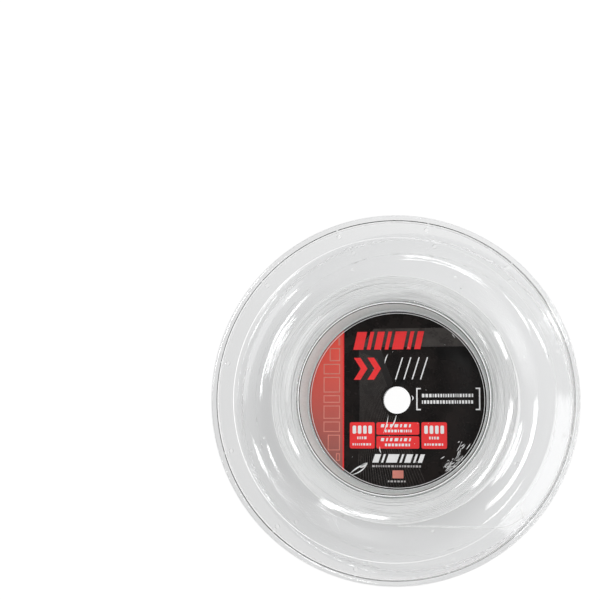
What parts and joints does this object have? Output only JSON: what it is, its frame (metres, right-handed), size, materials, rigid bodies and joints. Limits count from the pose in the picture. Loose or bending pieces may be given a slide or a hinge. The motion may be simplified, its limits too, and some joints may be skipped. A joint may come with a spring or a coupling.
{
  "type": "racket string reel",
  "caption": "Clear plastic reel of white racket string with flared flanges, a recessed round label and a spindle hole.",
  "frame": {"origin": "on the reel's axis, in the plane of the rear rim that the reel lies on", "axes": "+Z along the reel's axis, out of the labelled front face; +Y towards the top of the front label; +X to its right"},
  "size_m": [0.15, 0.15, 0.044],
  "materials": {
    "clear_plastic": "clear moulded plastic, glossy, lightly scuffed",
    "printed_label": "printed film label, satin gloss",
    "string": "white coated nylon string, satin, fine texture"
  },
  "bodies": {
    "root": {"front_flange": "clear_plastic", "rear_flange": "clear_plastic", "front_label": "printed_label", "rear_label": "printed_label", "string_winding": "string", "string_tail": "string"}
  },
  "joints": []
}
